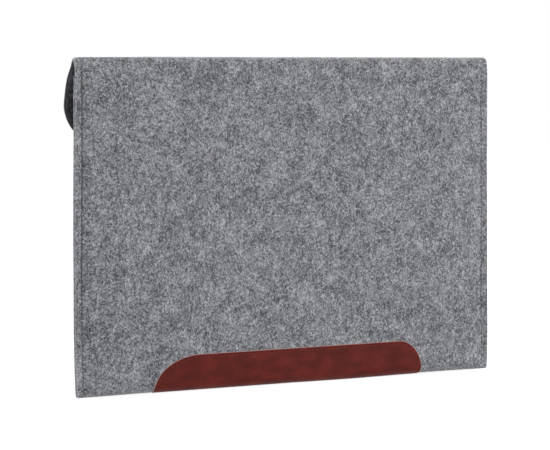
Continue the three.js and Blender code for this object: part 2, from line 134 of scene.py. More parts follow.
# ---- Edges and relief ----
FELT_ROUND = 1.1  # how far the cut edges of each material are rounded over
LEATHER_ROUND = 0.35
LINING_ROUND = 0.25
CUT_PAINTED_LIGHT = {"share": 0.26, "start": 0.3, "end": 1.1}  # painted light: the shell's cut edges are painted a little paler
FLAP_EDGE_SHADE = {"share": 0.45, "start": 0.3, "end": 0.9}  # painted shade: the flap's cut edges are painted darker
FOLD_PAINTED_SHADE = {"start": 2, "end": 8}  # painted shade: above the fold's start the inner face is painted dark
FELT_WAVES = ((0.22, 47, 3), (0.10, 19, 4))
FELT_LUMPS = ((0.05, 6, 5), (0.05, 3.1, 6))
LINING_PUFFS = ((0.12, 15, 8),)
CHANNEL = {"depth": 0.16, "width": 0.55}  # the line that the stitches press into the leather
CHANNEL_BORDER = {"height": 0.05, "inset": 0.9, "width": 0.6}
EDGE_WAVE = 0.3  # how far the felt's side edges wander

# ---- Grids ----
ROW_STEP = 1.25
COLUMN_STEP = 2.6
EDGE_STEPS = [0, 0.12, 0.35, 0.7, 1.1]
LINING_STEPS = [0, 0.1, 0.25]
LEATHER_STEPS = [0, 0.05, 0.15, 0.35, 0.7, 1.2, 1.8, 2.3, 2.8, 3.6, 5]
LEATHER_ROW_STEP, LEATHER_COLUMN_STEP = 1.3, 2.2
SEAM_COLUMNS = [1.9, 2.9, 3.8, 4.4, 4.8, 5.1, 5.35, 5.6, 5.85, 6.1, 6.4, 6.9, 7.7, 8.8, 10.2, 11.8, 13.6]
PLAIN_COLUMNS = [2, 4, 6.5, 9, 11]
RISE_LENGTH, SLOPE_LENGTH = 26, 44  # about how long the two stretches of the fold are

BODY_HALF = WIDTH / 2
LINING_HALF = BODY_HALF - LINING_INSET
SEAM_X = {side: BODY_HALF - inset for side, inset in SEAM_INSET.items()}
CENTRE_DEPTH = (FLAP_DEPTH - BACK_SWELL) / 2  # the depth where y is 0
BASE = PROUD
LOW = 30  # where the two faces' lower stretches begin


# ---- Curves ----
def by_side(x, values):
    """The left or the right one of two values, by the sign of x."""
    return np.where(x < 0, values[-1], values[1])


def by_face(surface, values):
    """The back's or the front's one of two values, at every row of a surface."""
    return np.where(surface.behind, values["back"], values["front"])


def smoothstep(value, low, high):
    t = np.clip((value - low) / (high - low), 0, 1)
    return t * t * (3 - 2 * t)


def cubic(points, t):
    """A cubic Bezier curve's point and unit tangent at t, in the side view."""
    a, b, c, e = (np.array(p, float) for p in points)
    u = 1 - t
    point = u**3 * a + 3 * u * u * t * b + 3 * u * t * t * c + t**3 * e
    tangent = 3 * (u * u * (b - a) + 2 * u * t * (c - b) + t * t * (e - c))
    return point, tangent / np.hypot(*tangent)


# The turn over the top, in the side view: its outer face and, while it climbs, the felt's inner face.
BEHIND = (0, FOLD_START)
IN_FRONT = (FLAP_DEPTH, FLAP_STRAIGHT)
TIGHT_RISE = (BEHIND, (0, FOLD_START + 13), (0.4, HEIGHT), (CREST, HEIGHT))
TIGHT_INSIDE = ((FELT, FOLD_START), (FELT, FOLD_START + 8.5), (4.5, HEIGHT - FELT), (CREST, HEIGHT - FELT))
TIGHT_SLOPE = ((CREST, HEIGHT), (17, HEIGHT), (FLAP_DEPTH, HEIGHT - 20), IN_FRONT)
SLACK_RISE = (BEHIND, (0, FOLD_START + 11), (4, HEIGHT + 5.3), (CREST, HEIGHT - 5.5))
SLACK_INSIDE = ((FELT, FOLD_START), (FELT, FOLD_START + 8), (5, HEIGHT - 0.5), (CREST - 2.46, HEIGHT - 7.22))
SLACK_SLOPE = ((CREST, HEIGHT - 5.5), (13.45, HEIGHT - 9), (29, HEIGHT - 20.5), IN_FRONT)


def swell(x):
    share = np.clip((BODY_HALF - FLANGE - np.abs(x)) / RAMP, 0, 1)
    return 1 - (1 - share) ** 2


def back_depth(x):
    return -BACK_SWELL * swell(x)


def front_depth(x):
    return EDGE_THICKNESS + (FRONT_DEPTH - EDGE_THICKNESS) * swell(x)


def fold_radius(x):
    return EDGE_THICKNESS / 2 + (CORNER - EDGE_THICKNESS / 2) * swell(x)


# ---- Stretches of the sheet: each gives depth, height and normal at every x, for k from 0 to 1 ----
def front_upper(x, k):
    ends = smoothstep(np.abs(x), MOUTH_RISE["start"], MOUTH_RISE["end"])
    top = FRONT_TOP + MOUTH_RISE["height"] * ends
    return front_depth(x), top + (LOW - top) * k, 1 + 0 * x, 0 * x


def front_lower(x, k):
    return front_depth(x), LOW + (BASE + fold_radius(x) - LOW) * k, 1 + 0 * x, 0 * x


def quarter(centre, x, angle):
    radius = fold_radius(x)
    nd, nz = math.cos(angle) + 0 * x, math.sin(angle) + 0 * x
    return centre + radius * nd, BASE + radius + radius * nz, nd, nz


def front_bend(x, k):
    return quarter(front_depth(x) - fold_radius(x), x, -k * math.pi / 2)


def bottom(x, k):
    front, back = front_depth(x) - fold_radius(x), back_depth(x) + fold_radius(x)
    return front + (back - front) * k, BASE + 0 * x, 0 * x, -1 + 0 * x


def back_bend(x, k):
    return quarter(back_depth(x) + fold_radius(x), x, -(1 + k) * math.pi / 2)


def back_lower(x, k):
    foot = BASE + fold_radius(x)
    return back_depth(x), foot + (LOW - foot) * k, -1 + 0 * x, 0 * x


def back_upper(x, k):
    z = LOW + (FOLD_START - LOW) * k
    depth = lambda h: back_depth(x) * (1 - smoothstep(h, FADE_START, FOLD_START))
    slope = depth(z + 0.5) - depth(z - 0.5)
    length = np.hypot(1, slope)
    return depth(z), z + 0 * x, -1 / length, slope / length


def on_curve(points, x, k):
    (d, z), (td, tz) = cubic(points, k)
    return d + 0 * x, z + 0 * x, -tz + 0 * x, td + 0 * x


def between(slack, tight, x):
    """The turn over the top is slack at the sleeve's left end, and tight along the rest of it."""
    share = smoothstep(x, SLACK_END, SLACK_START)
    return tuple(a + (b - a) * share for a, b in zip(slack, tight))


def folded(outer, inside, k):
    """A point of the outer face, with a normal that leads to the inside curve one thickness in."""
    (d, z), (inside_d, inside_z) = cubic(outer, k)[0], cubic(inside, k)[0]
    return d, z, (d - inside_d) / FELT, (z - inside_z) / FELT


def rise(x, k):
    return between(folded(SLACK_RISE, SLACK_INSIDE, k), folded(TIGHT_RISE, TIGHT_INSIDE, k), x)


def slope(x, k):
    return between(on_curve(SLACK_SLOPE, x, k), on_curve(TIGHT_SLOPE, x, k), x)


def hang(x, k):
    return FLAP_DEPTH + 0 * x, FLAP_STRAIGHT + (FLAP_TIP - FLAP_STRAIGHT) * k + 0 * x, 1 + 0 * x, 0 * x


def stretch(function, length, start=(), end=()):
    """Rows along one stretch about ROW_STEP apart. start and end are closer steps at an open edge."""
    first = max(start, default=0) / length
    last = 1 - max(end, default=0) / length
    even = np.linspace(first, last, max(2, round(length * (last - first) / ROW_STEP)) + 1)
    close = [[s / length for s in start[:-1]], even, [1 - s / length for s in reversed(end[:-1])]]
    return [(function, k) for k in np.concatenate([np.array(part, float) for part in close])]


def joined(*stretches):
    """The rows of several stretches, with the row that two of them share kept once."""
    rows = list(stretches[0])
    for part in stretches[1:]:
        rows += part[1:]
    return rows


def shell_rows(mouth):
    """From the mouth's edge, lowered by the mouth steps' first value, to the crest of the fold."""
    turn = CORNER * 1.6
    return joined(
        stretch(front_upper, FRONT_TOP - LOW, start=mouth),
        stretch(front_lower, LOW - CORNER),
        stretch(front_bend, turn),
        stretch(bottom, FRONT_DEPTH + BACK_SWELL - 2 * CORNER),
        stretch(back_bend, turn),
        stretch(back_lower, LOW - CORNER),
        stretch(back_upper, FOLD_START - LOW),
        stretch(rise, RISE_LENGTH),
    )


def flap_rows(edge):
    return joined(stretch(slope, SLOPE_LENGTH), stretch(hang, FLAP_STRAIGHT - FLAP_TIP, end=edge))


def columns(fine_seam=True):
    """Places across the sheet from -1 to 1, closer together at the edges and along the sewn seams."""
    near = EDGE_STEPS + (SEAM_COLUMNS if fine_seam else PLAIN_COLUMNS)
    rest = BODY_HALF - near[-1]
    even = np.linspace(rest, 0, round(rest / COLUMN_STEP) + 1)[1:]
    right = np.concatenate([BODY_HALF - np.array(near), even]) / BODY_HALF
    return np.concatenate([-right, right[-2::-1]])


class Surface:
    """A grid of points on the sheet's outer face. half gives the half width of each row from its height."""

    def __init__(self, rows, across, half=lambda z: BODY_HALF):
        found = []
        for function, k in rows:
            height = float(function(np.zeros(1), k)[1][0])
            x = across * half(height)
            found.append([x, *function(x, k)])
        self.x, self.d, self.z, self.nd, self.nz = (np.array(part) for part in zip(*found))
        self.straight = self.x
        self.x = self.x + sway(self.x, self.z) + edge_waves(self.x, self.z)
        middle = self.x.shape[1] // 2
        self.behind = self.nd[:, middle : middle + 1] < 0.5
        steps = np.hypot(np.diff(self.d[:, middle]), np.diff(self.z[:, middle]))
        self.length = float(steps.sum())
        self.along = np.concatenate([[0], np.cumsum(steps)])[:, None] + 0 * self.x

    def at(self, offset):
        """The points at an inward offset from the outer face, in metres."""
        y = self.d - offset * self.nd - CENTRE_DEPTH
        z = self.z - offset * self.nz
        return np.stack([self.x, y, z], axis=-1).reshape(-1, 3) / 1000


# ---- Relief ----
def ripple(u, v, cell, seed):
    """Smooth seeded noise from -1 to 1, with features about a cell across."""
    lattice = np.random.default_rng(seed).uniform(-1, 1, (256, 256))
    a, b = u / cell + 97, v / cell + 61
    i, j = np.floor(a).astype(int), np.floor(b).astype(int)
    s, t = a - i, b - j
    s, t = s * s * (3 - 2 * s), t * t * (3 - 2 * t)
    at = lambda p, q: lattice[(i + p) % 256, (j + q) % 256]
    low = at(0, 0) * (1 - s) + at(1, 0) * s
    high = at(0, 1) * (1 - s) + at(1, 1) * s
    return low * (1 - t) + high * t


def ripples(x, along, layers):
    """Several layers of ripples on top of each other, from each one's height, size and seed."""
    return sum(height * ripple(x, along, size, seed) for height, size, seed in layers)


def slow_waves(x, along):
    """Gentle unevenness of the felt, which the leather sewn to it follows."""
    return ripples(x, along, FELT_WAVES)


def sway(x, z):
    """How far the felt's left side leans from a straight line, seam and all."""
    lean = SWAY["reach"] * np.sin(math.pi * (z - SWAY["middle"]) / SWAY["length"])
    return lean * smoothstep(-x, SWAY["start"], SWAY["end"])


def edge_waves(x, z):
    """How far the side edges wander in and out, which fades away before the seams."""
    wave = ripple(by_side(x, {-1: 0, 1: 300}), z, 41, 9)
    return EDGE_WAVE * wave * smoothstep(np.abs(x), by_side(x, SEAM_X) + 1, BODY_HALF)


def felt_relief(x, along):
    """How far the felt's face stands out, without its seams."""
    return slow_waves(x, along) + ripples(x, along, FELT_LUMPS)


def seam_line(x, width):
    """1 on the sewn line, fading away over a width on both sides."""
    return np.exp(-(((np.abs(x) - by_side(x, SEAM_X)) / width) ** 2))


def seam_span(z, high):
    """1 along the seam, and 0 past its two ends."""
    return smoothstep(z, SEAM_LOW - SEAM_FADE, SEAM_LOW) * (1 - smoothstep(z, high, high + SEAM_FADE))


def seam_pull(x, z):
    """How hard the thread pulls at a place on a seam, up to 1."""
    slack = 1 - smoothstep(z, SEAM_SLACK["start"], SEAM_SLACK["end"])
    return np.where(x < 0, 1 - SEAM_SLACK["share"] * slack, 1.0)


def groove(x, z):
    """How deep the thread of the seam on this side pulls into the felt."""
    return by_side(x, GROOVE_DEPTH) * seam_pull(x, z)


def seam_dip(x, z, high):
    """How far a row of stitches pulls the felt in."""
    stitches = GROOVE_MEAN + (1 - GROOVE_MEAN) * np.cos(2 * math.pi * z / SEAM_PITCH)
    valley = SEAM_VALLEY["depth"] * seam_line(x, SEAM_VALLEY["width"])
    return (groove(x, z) * seam_line(x, GROOVE_WIDTH) * stitches + valley) * seam_span(z, high)


def spring_back(x, z, high):
    """How far the felt swells again between a seam and the cut edge."""
    outside = np.clip((np.abs(x) - by_side(x, SEAM_X)) / by_side(x, SEAM_INSET), 0, 1)
    low = smoothstep(z, SPRING_FADE["start"], SPRING_FADE["end"])
    middle = low * (1 - smoothstep(z, high - SPRING_FADE["top"], high))
    return by_side(x, SPRING_BACK) * outside * middle


def rounded(distance, radius):
    """How far a cut edge is rounded in, at a distance from it."""
    left = radius - np.clip(distance, 0, radius)
    return radius - np.sqrt(np.maximum(radius**2 - left**2, 0))


def at_edge(distance, band):
    """A tint's share along a cut edge, which fades away inwards."""
    return band["share"] * (1 - smoothstep(distance, band["start"], band["end"]))


def droop(x, from_crest):
    """How far the slack end of the top fold bends down, at a distance along the sheet from its crest."""
    end = smoothstep(-x, BODY_HALF - CREST_DROOP["width"], BODY_HALF + 3)
    return CREST_DROOP["drop"] * end * (1 - smoothstep(from_crest, 0, CREST_DROOP["length"]))


# ---- Meshes ----
def grid_faces(rows, across, start, flip):
    first = start + np.arange(rows - 1)[:, None] * across + np.arange(across - 1)[None, :]
    first = first.reshape(-1)
    faces = np.stack([first, first + 1, first + across + 1, first + across], axis=1)
    return faces[:, ::-1] if flip else faces


def rim_faces(rows, across):
    """The faces that join the borders of two grids of the same size."""
    grid = np.arange(rows * across).reshape(rows, across)
    border = np.concatenate([grid[0, :], grid[1:, -1], grid[-1, -2::-1], grid[-2:0:-1, 0]])
    onward = np.roll(border, -1)
    other = rows * across
    return np.stack([border, border + other, onward + other, onward], axis=1)


def mesh_object(name, points, faces, material, **attributes):
    """An object from points in metres. Every point also keeps its place at rest, for the materials."""
    mesh = bpy.data.meshes.new(name)
    mesh.from_pydata(points.tolist(), [], faces.tolist())
    attributes["rest"] = points
    for key, values in attributes.items():
        vector = np.ndim(values) == 2
        layer = mesh.attributes.new(key, "FLOAT_VECTOR" if vector else "FLOAT", "POINT")
        layer.data.foreach_set("vector" if vector else "value", np.asarray(values, np.float32).reshape(-1))
    mesh.shade_smooth()
    mesh.materials.append(material)
    mesh.validate()
    piece = bpy.data.objects.new(name, mesh)
    bpy.context.scene.collection.objects.link(piece)
    return piece


def sheet_object(name, surface, outer, inner, material, **attributes):
    """A closed sheet between two inward offsets of a surface, given at every point of its grid.

    An attribute is one grid of values for both faces, or a pair for the outer and the inner face."""
    rows, across = surface.x.shape
    outer, inner = outer + 0 * surface.x, inner + 0 * surface.x
    points = np.concatenate([surface.at(outer), surface.at(inner)])
    outside, inside = grid_faces(rows, across, 0, True), grid_faces(rows, across, rows * across, False)
    faces = np.concatenate([outside, inside, rim_faces(rows, across)[:, ::-1]])
    both = {}
    for key, value in attributes.items():
        pair = value if isinstance(value, tuple) else (value, value)
        both[key] = np.concatenate([(part + 0 * surface.x).reshape(-1) for part in pair])
    return mesh_object(name, points, faces[:, ::-1], material, **both)


# ---- Materials ----
class Nodes:
    """A material's node tree, built by short calls."""

    def __init__(self, name):
        self.material = bpy.data.materials.new(name)
        self.material.use_nodes = True
        self.tree = self.material.node_tree
        self.shader = self.tree.nodes["Principled BSDF"]

    def add(self, kind, inputs=(), **settings):
        """A node. inputs maps a socket's name or number to a value or to another node's socket."""
        node = self.tree.nodes.new(kind)
        for key, value in settings.items():
            setattr(node, key, value)
        for key, value in dict(inputs).items():
            self.put(node.inputs[key], value)
        return node

    def put(self, socket, value):
        if isinstance(value, bpy.types.NodeSocket):
            self.tree.links.new(value, socket)
        else:
            socket.default_value = value

    def math(self, operation, a, b=0.5, c=0.0):
        return self.add("ShaderNodeMath", {0: a, 1: b, 2: c}, operation=operation).outputs[0]

    def place(self, attribute="rest"):
        """The place at rest in millimetres."""
        source = self.add("ShaderNodeAttribute", attribute_name=attribute).outputs["Vector"]
        node = self.add("ShaderNodeVectorMath", {0: source, "Scale": 1000.0}, operation="SCALE")
        return node.outputs["Vector"]

    def value(self, attribute):
        return self.add("ShaderNodeAttribute", attribute_name=attribute).outputs["Fac"]

    def cells(self, vector, size, turn=0.0):
        """Coordinates in cells of a size in millimetres, in axes turned about Y."""
        inputs = {"Vector": vector, "Rotation": (0, turn, 0), "Scale": size}
        return self.add("ShaderNodeMapping", inputs, vector_type="TEXTURE").outputs["Vector"]

    def noise(self, vector, detail=0.0, roughness=0.5, scale=1.0):
        inputs = {"Vector": vector, "Scale": scale, "Detail": detail, "Roughness": roughness}
        return self.add("ShaderNodeTexNoise", inputs).outputs["Fac"]

    def ramp(self, value, stops):
        node = self.add("ShaderNodeValToRGB", {"Fac": value})
        elements = node.color_ramp.elements
        while len(elements) < len(stops):
            elements.new(0.5)
        for element, (position, colour) in zip(elements, stops):
            element.position = position
            element.color = (*colour, 1)
        return node.outputs["Color"]

    def mix(self, share, a, b):
        node = self.add("ShaderNodeMix", data_type="RGBA")
        for socket, value in zip((node.inputs[0], node.inputs[6], node.inputs[7]), (share, a, b)):
            self.put(socket, value)
        return node.outputs[2]

    def bump(self, height, distance, strength=1.0, normal=None):
        inputs = {"Height": height, "Distance": distance, "Strength": strength}
        if normal is not None:
            inputs["Normal"] = normal
        return self.add("ShaderNodeBump", inputs).outputs["Normal"]

    def finish(self, **inputs):
        for key, value in inputs.items():
            self.put(self.shader.inputs[key.replace("_", " ")], value)
        return self.material


def grey(value):
    """A slightly blue grey."""
    return (value, 1.014 * value, 1.10 * value)


FIBRE_TURNS = (0.35, 1.25, 1.75, 2.6)  # the directions that the fibres lie in, about Y
FIBRE_BUNDLES = (  # length, width and strength
    (19.0, 13.0, 0.25),
    (8.5, 5.0, 0.42),
    (3.4, 1.4, 0.78),
    (1.65, 0.75, 1.25),
)
FLECKS = ((2.4, 0.5), (2.0, -0.5))  # size, and how much lighter or darker
FELT_TONES = ((0.40, 0.032), (0.46, 0.079), (0.5, 0.127), (0.54, 0.178), (0.6, 0.28))


def felt_material():
    """Wool felt blended from light and dark fibres, matted in every direction."""
    n = Nodes("felt")
    place = n.place()
    total = 0.0
    for i, (length, width, strength) in enumerate(FIBRE_BUNDLES):
        for j, turn in enumerate(FIBRE_TURNS):
            shift = (31.0 * i, 17.0 * j, 11.0 * (i + j))
            shifted = n.add("ShaderNodeVectorMath", {0: place, 1: shift}, operation="ADD").outputs[0]
            bundle = n.noise(n.cells(shifted, (length, width, width), turn))
            total = n.math("MULTIPLY_ADD", bundle, strength, total)
    share = 1 / (len(FIBRE_TURNS) * sum(bundle[2] for bundle in FIBRE_BUNDLES))
    level = n.math("MULTIPLY", total, share)
    for size, strength in FLECKS:
        winding = n.noise(n.cells(place, (size, size, size), strength), 1.0, 0.6)
        off = n.math("ABSOLUTE", n.math("SUBTRACT", winding, 0.5))
        fleck = n.math("MAXIMUM", n.math("MULTIPLY_ADD", off, -22.0, 1.0), 0.0)
        level = n.math("MULTIPLY_ADD", fleck, 0.07 * strength, level)
    colour = n.ramp(level, [(position, grey(value)) for position, value in FELT_TONES])
    # painted light: the felt is painted paler along the shell's cut edges
    paler = {0: colour, "Scale": n.math("ADD", n.value("pale"), 1.0)}
    colour = n.add("ShaderNodeVectorMath", paler, operation="SCALE").outputs["Vector"]
    # painted shade: the felt is mixed towards near-black along the seams' grooves, inside the top fold, and
    # on the flap's cut edges and inner face
    colour = n.mix(n.value("dark"), colour, (0.025, 0.025, 0.028, 1))
    fuzz = n.noise(n.cells(place, (0.5, 0.5, 0.5)), 2.0, 0.7)
    relief = n.math("MULTIPLY_ADD", fuzz, 0.12, level)
    normal = n.bump(relief, 0.0016, 0.9)
    fluff = {"Sheen_Weight": 0.32, "Sheen_Roughness": 0.4}
    return n.finish(Base_Color=colour, Roughness=0.95, Normal=normal, Specular_IOR_Level=0.12, **fluff)


LINING_TONES = (
    (0.41, (0.0085, 0.0085, 0.012)),
    (0.5, (0.0215, 0.0225, 0.0285)),
    (0.59, (0.060, 0.062, 0.077)),
)


def lining_material():
    """A dark knitted lining with a short nap that is brushed unevenly."""
    n = Nodes("lining")
    place = n.place()
    nap = n.noise(n.cells(place, (1.6, 1.2, 2.4)), 3.0, 0.6)
    cloud = n.noise(n.cells(place, (5.0, 4.0, 7.0)), 1.0)
    nap = n.math("MULTIPLY_ADD", cloud, 0.4, n.math("MULTIPLY", nap, 0.6))
    colour = n.ramp(nap, LINING_TONES)
    normal = n.bump(n.noise(n.cells(place, (0.6, 0.6, 0.6)), 2.0), 0.0005, 0.8)
    return n.finish(Base_Color=colour, Roughness=0.9, Normal=normal, Sheen_Weight=0.15, Sheen_Roughness=0.4)


LEATHER_TONES = (
    (0.3, (0.043, 0.0036, 0.0021)),
    (0.5, (0.065, 0.0054, 0.0029)),
    (0.7, (0.090, 0.0086, 0.0050)),
)


def leather_material():
    """Smooth aniline leather with a fine grain, with a painted highlight along its cut edge, where the raw
    edge is also a little paler.
    """
    n = Nodes("leather")
    place = n.place()
    tone = n.noise(n.cells(place, (16.0, 16.0, 9.0)), 3.0, 0.55)
    body = n.ramp(tone, LEATHER_TONES)
    inputs = {"Vector": n.cells(place, (0.75, 0.75, 0.75)), "Scale": 1.0}
    grain = n.add("ShaderNodeTexVoronoi", inputs, feature="SMOOTH_F1").outputs["Distance"]
    pores = n.noise(n.cells(place, (0.3, 0.3, 0.3)), 2.0, 0.6)
    relief = n.math("MULTIPLY_ADD", pores, 0.3, grain)
    # painted highlight along the cut edge, over the raw edge's paler colour
    colour = n.mix(n.value("edge"), body, (0.29, 0.18, 0.17, 1))
    rough = n.math("MULTIPLY_ADD", n.noise(n.cells(place, (5.0, 5.0, 5.0)), 3.0), 0.28, 0.36)
    normal = n.bump(relief, 0.00012, 0.7)
    return n.finish(Base_Color=colour, Roughness=rough, Normal=normal, Specular_IOR_Level=0.12)


def thread_material(name, dark, light):
    """Twisted thread: the strand attribute runs along the stitch, around it, and by stitch."""
    n = Nodes(name)
    strand = n.place("strand")
    inputs = {"Vector": strand, "Scale": 1.0, "Distortion": 0.4}
    plies = n.add("ShaderNodeTexWave", inputs, bands_direction="DIAGONAL").outputs["Fac"]
    wear = n.noise(n.cells(strand, (2.0, 2.0, 5.0)), 2.0)
    colour = n.mix(n.math("MULTIPLY_ADD", plies, 0.6, n.math("MULTIPLY", wear, 0.4)), (*dark, 1), (*light, 1))
    normal = n.bump(plies, 0.0001, 0.6)
    return n.finish(Base_Color=colour, Roughness=0.7, Normal=normal, Specular_IOR_Level=0.2)


def metal_material(name, base, roughness):
    """Plated metal with turning marks around the snap's axis and small scuffs."""
    n = Nodes(name)
    place = n.place()
    scuffs = n.noise(n.cells(place, (0.5, 0.5, 4.0), 0.6), 4.0, 0.65)
    worn = n.noise(n.cells(place, (3.0, 3.0, 3.0)), 3.0, 0.6)
    tint = tuple(0.55 * c for c in base)
    colour = n.mix(n.math("MULTIPLY_ADD", worn, 0.7, 0.15), (*tint, 1), (*base, 1))
    rough = n.math("MULTIPLY_ADD", scuffs, 0.25, roughness)
    return n.finish(Base_Color=colour, Roughness=rough, Metallic=1.0, Normal=n.bump(scuffs, 0.00004, 0.5))


def object_metal_material(name, base, roughness, metallic):
    """The same for the CAD's own nodes, which keep no place at rest."""
    n = Nodes(name)
    place = n.add("ShaderNodeTexCoord").outputs["Object"]
    grit = n.noise(place, 4.0, 0.6, scale=900.0)
    tint = tuple(0.6 * c for c in base)
    colour = n.mix(grit, (*tint, 1), (*base, 1))
    rough = n.math("MULTIPLY_ADD", grit, 0.25, roughness)
    return n.finish(Base_Color=colour, Roughness=rough, Metallic=metallic, Normal=n.bump(grit, 0.00005, 0.4))


FELT_LOOK = felt_material()
LINING_LOOK = lining_material()
LEATHER_LOOK = leather_material()
FELT_THREAD = thread_material("felt_thread", (0.030, 0.030, 0.034), (0.100, 0.100, 0.110))
LEATHER_THREAD = thread_material("leather_thread", (0.07, 0.006, 0.004), (0.17, 0.020, 0.014))
SNAP_LOOK = metal_material("snap_metal", (0.52, 0.47, 0.41), 0.22)
HIDDEN_METAL = object_metal_material("snap_plate", (0.45, 0.41, 0.36), 0.3, 1.0)
MAGNET_LOOK = object_metal_material("magnet", (0.1, 0.105, 0.115), 0.5, 0.4)


def flap_width(z):
    """The flap's half width above its rounded corners."""
    return BODY_HALF - FLAP_TAPER["depth"] * smoothstep(HEIGHT - z, 0, FLAP_TAPER["length"])


def flap_half(z, inset=0.0):
    corner = FLAP_CORNER - inset
    past = min(max(FLAP_TIP + FLAP_CORNER - z, 0), corner)
    return float(flap_width(z)) - inset - corner + math.sqrt(corner**2 - past**2)


def flap_edge_distance(surface):
    """Distance from the flap's outline at its sides, rounded corners and lower edge."""
    q = np.maximum(np.abs(surface.straight) - (flap_width(surface.z) - FLAP_CORNER), 0)
    p = np.maximum(FLAP_TIP + FLAP_CORNER - surface.z, 0)
    return FLAP_CORNER - np.hypot(q, p)


def add_felt_shell():
    surface = Surface(shell_rows(EDGE_STEPS), columns())
    mouth, straight, z = surface.along, surface.straight, surface.z
    side = BODY_HALF - np.abs(straight)
    soft = np.maximum(rounded(mouth, FELT_ROUND), rounded(side, FELT_ROUND))
    sag = droop(surface.x, surface.length - surface.along)
    high = by_face(surface, SEAM_HIGH)
    dip = seam_dip(straight, z, high)
    relief = felt_relief(surface.x, surface.along) - dip + spring_back(straight, z, high)
    pressed = by_face(surface, CRUSH_HIGH)
    crush = CRUSH["depth"] * (1 - smoothstep(side, CRUSH["start"], CRUSH["end"]))
    crush = crush * (1 - smoothstep(z, pressed, pressed + SEAM_FADE))
    # painted shade: the felt is painted darker along the seams' grooves
    shade = by_side(straight, SEAM_SHADE) * seam_pull(straight, z)
    shade = shade * seam_line(straight, GROOVE_WIDTH) * seam_span(z, high)
    # painted shade on the inner face inside the top fold
    fold_painted_shade = smoothstep(z - FOLD_START, FOLD_PAINTED_SHADE["start"], FOLD_PAINTED_SHADE["end"]) * surface.behind
    # painted light: the cut edges are painted paler
    pale = at_edge(np.minimum(side, mouth), CUT_PAINTED_LIGHT)
    outer, inner = sag + soft - relief, sag + FELT - soft - crush
    piece = sheet_object("felt_shell", surface, outer, inner, FELT_LOOK, dark=(shade, fold_painted_shade), pale=pale)
    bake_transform(piece)
    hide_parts("felt_body")
    return surface


def add_felt_flap(shell_length):
    surface = Surface(flap_rows(EDGE_STEPS), columns(False), flap_half)
    soft = rounded(flap_edge_distance(surface), FELT_ROUND)
    sag = droop(surface.x, surface.along)
    relief = felt_relief(surface.x, surface.along + shell_length)
    # painted shade along the flap's cut edges, and over its whole inner face
    dark = at_edge(flap_edge_distance(surface), FLAP_EDGE_SHADE)
    outer, inner = sag + soft - relief, sag + FELT - soft
    piece = sheet_object("felt_flap_cover", surface, outer, inner, FELT_LOOK, dark=(dark, 1.0))
    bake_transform(piece)
    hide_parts("felt_top_fold", "felt_flap")
    return surface


def lining_half(z):
    """The lining's half width, which grows above the sewn sides to that of the flap's lining."""
    grown = float(smoothstep(z, LINING_SPREAD["start"], LINING_SPREAD["end"]))
    return LINING_HALF + (LINING_INSET - LINING_MARGIN) * grown


def add_lining_shell():
    rows = shell_rows([LINING_SETBACK + step for step in LINING_STEPS])
    surface = Surface(rows, columns(False), lining_half)
    front = ~surface.behind[:, 0]
    reach = np.abs(surface.x[front]).max(axis=1, keepdims=True)
    surface.x[front] *= LINING_HALF / reach
    edge = np.abs(surface.x).max(axis=1, keepdims=True) - np.abs(surface.x)
    soft = np.maximum(rounded(surface.along, LINING_ROUND), rounded(edge, LINING_ROUND))
    sag = droop(surface.x, surface.length - surface.along)
    start = sag + FELT + LINING_GAP
    puffs = ripples(surface.x, surface.along, LINING_PUFFS)
    outer, inner = start + soft, start + LINING - soft + puffs
    piece = sheet_object("lining_shell", surface, outer, inner, LINING_LOOK)
    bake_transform(piece)
    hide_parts("lining_body")


def add_lining_flap():
    lowest = FLAP_TIP + LINING_TIP_GAP
    half = lambda z: flap_half(max(z, lowest), LINING_MARGIN)
    surface = Surface(flap_rows(LINING_STEPS), columns(False), half)
    drop = np.maximum(FLAP_STRAIGHT - surface.z, 0)
    surface.z += drop * LINING_TIP_GAP / (FLAP_STRAIGHT - FLAP_TIP)
    soft = rounded(flap_edge_distance(surface) - LINING_MARGIN, LINING_ROUND)
    sag = droop(surface.x, surface.along)
    start = sag + FELT + LINING_GAP
    piece = sheet_object("lining_flap_cover", surface, start + soft, start + LINING - soft, LINING_LOOK)
    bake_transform(piece)
    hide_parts("lining_top_fold", "lining_flap")


# ---- Leather ----
BOTTOM_HALF = (FRONT_DEPTH + BACK_SWELL) / 2 - CORNER  # half of the flat bottom
BOTTOM_TURN = CORNER * math.pi / 2
TRIM_HALF_LENGTH = TRIM_HEIGHT - CORNER + BOTTOM_TURN + BOTTOM_HALF


def base_line(s):
    """The base trim's line at a distance s up the back (positive) or front from the middle of the bottom."""
    middle = (FRONT_DEPTH - BACK_SWELL) / 2
    side = np.where(s < 0, -1.0, 1.0)
    along = np.abs(s)
    angle = np.clip((along - BOTTOM_HALF) / CORNER, 0, math.pi / 2)
    d = middle - side * (np.minimum(along, BOTTOM_HALF) + CORNER * np.sin(angle))
    z = BASE + CORNER * (1 - np.cos(angle)) + np.maximum(along - BOTTOM_HALF - BOTTOM_TURN, 0)
    return d, z, -side * np.sin(angle), -np.cos(angle)


def base_along(s):
    """The shell's own coordinate at a place on the trim, so that the trim follows the felt's waves."""
    return FRONT_TOP - CORNER + BOTTOM_TURN + BOTTOM_HALF + s


class Patch:
    """A grid on a face of the sheet, with the members that sheet_object reads."""

    def __init__(self, x, d, z, nd, nz):
        self.x, self.d, self.z, self.nd, self.nz = x, d, z, nd + 0 * x, nz + 0 * x

    at = Surface.at


def edge_spaced(half, step):
    """Places from -half to half, close together at both ends."""
    rest = half - LEATHER_STEPS[-1]
    even = np.linspace(rest, 0, round(rest / step) + 1)[1:]
    right = np.concatenate([half - np.array(LEATHER_STEPS), even])
    return np.concatenate([-right, right[-2::-1]])


def waist(s):
    """How far both ends of the base trim draw in at s."""
    return TRIM_WAIST["depth"] * (1 - smoothstep(np.abs(s), 0, TRIM_WAIST["height"]))


